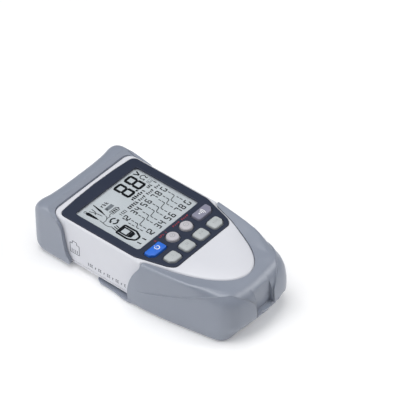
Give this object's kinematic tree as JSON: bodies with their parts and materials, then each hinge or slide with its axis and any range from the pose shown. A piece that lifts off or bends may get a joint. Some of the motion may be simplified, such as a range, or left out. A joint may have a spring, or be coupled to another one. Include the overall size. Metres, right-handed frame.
{
  "type": "network cable tester",
  "caption": "Handheld network cable tester with display, keypad, twin RJ45 sockets, battery door and a slide-off remote terminal.",
  "frame": {"origin": "on the underside of the remote terminal's bearing plate, where the tester rests on its back, on the tester's centre plane, 24.5 mm behind the plate's front edge", "axes": "+Z out of the display, +Y along the tester towards the socket end, +X to the right when the display is read"},
  "size_m": [0.0756, 0.1483, 0.0373],
  "materials": {
    "white_shell": "satin moulded ABS with a fine spark texture",
    "grey_shell": "satin cool grey moulded plastic",
    "navy_panel": "semi-gloss printed panel",
    "display_window": "clear polished",
    "lcd_panel": "smooth reflective display glass",
    "light_guide": "milky moulded",
    "flex_cable": "satin film",
    "circuit_board": "solder mask",
    "black_plastic": "moulded",
    "gold_contact": "plated",
    "battery_jacket": "printed jacket",
    "red_wire": "insulation",
    "key_blue": "satin",
    "key_grey": "satin moulded",
    "steel_screw": "zinc plated"
  },
  "bodies": {
    "tester": {"front_housing": "white_shell", "rear_housing": "white_shell", "top_end_cap": "grey_shell", "display_bezel": "navy_panel", "display_window": "display_window", "lcd_panel": "lcd_panel", "lcd_backlight": "light_guide", "lcd_flex_cable": "flex_cable", "main_pcb": "circuit_board", "main_ic": "black_plastic", "buzzer": "black_plastic", "battery_snap_connector": "black_plastic", "rj45_socket_left": "black_plastic", "rj45_socket_right": "black_plastic", "socket_contacts_left": "gold_contact", "socket_contacts_right": "gold_contact", "battery_9v": "battery_jacket", "battery_lead_red": "red_wire", "battery_lead_black": "black_plastic", "power_switch": "black_plastic", "mode_switch_left": "black_plastic", "mode_switch_right": "black_plastic", "scan_switch": "black_plastic", "function_key_1_switch": "black_plastic", "function_key_2_switch": "black_plastic", "function_key_3_switch": "black_plastic", "function_key_4_switch": "black_plastic", "housing_screw_1": "steel_screw", "housing_screw_2": "steel_screw", "housing_screw_3": "steel_screw", "housing_screw_4": "steel_screw", "housing_screw_5": "steel_screw", "cap_screw_left": "steel_screw", "cap_screw_right": "steel_screw"},
    "power_button": {"power_button": "key_blue"},
    "mode_button_left": {"mode_button_left": "key_grey"},
    "mode_button_right": {"mode_button_right": "key_grey"},
    "scan_button": {"scan_button": "key_grey"},
    "function_key_1": {"function_key_1": "key_grey"},
    "function_key_2": {"function_key_2": "key_grey"},
    "function_key_3": {"function_key_3": "key_grey"},
    "function_key_4": {"function_key_4": "key_grey"},
    "battery_door": {"battery_door": "white_shell"},
    "remote_terminal": {"remote_housing": "grey_shell", "remote_base_cover": "grey_shell", "remote_pcb": "circuit_board", "remote_rj45_socket": "black_plastic", "remote_socket_contacts": "gold_contact", "remote_screw_1": "steel_screw", "remote_screw_2": "steel_screw"}
  },
  "joints": [
    {"name": "power_button_press", "type": "slide", "parent": "tester", "child": "power_button", "axis": [0, 0, -1], "range_m": [0, 0.0008]},
    {"name": "mode_button_left_press", "type": "slide", "parent": "tester", "child": "mode_button_left", "axis": [0, 0, -1], "range_m": [0, 0.0008]},
    {"name": "mode_button_right_press", "type": "slide", "parent": "tester", "child": "mode_button_right", "axis": [0, 0, -1], "range_m": [0, 0.0008]},
    {"name": "scan_button_press", "type": "slide", "parent": "tester", "child": "scan_button", "axis": [0, 0, -1], "range_m": [0, 0.0008]},
    {"name": "function_key_1_press", "type": "slide", "parent": "tester", "child": "function_key_1", "axis": [0, 0, -1], "range_m": [0, 0.0008]},
    {"name": "function_key_2_press", "type": "slide", "parent": "tester", "child": "function_key_2", "axis": [0, 0, -1], "range_m": [0, 0.0008]},
    {"name": "function_key_3_press", "type": "slide", "parent": "tester", "child": "function_key_3", "axis": [0, 0, -1], "range_m": [0, 0.0008]},
    {"name": "function_key_4_press", "type": "slide", "parent": "tester", "child": "function_key_4", "axis": [0, 0, -1], "range_m": [0, 0.0008]},
    {"name": "battery_door_lift", "type": "slide", "parent": "tester", "child": "battery_door", "axis": [0, 0, -1], "range_m": [0, 0.03]},
    {"name": "remote_slide", "type": "slide", "parent": "tester", "child": "remote_terminal", "axis": [0, -1, 0], "range_m": [0, 0.105]}
  ]
}
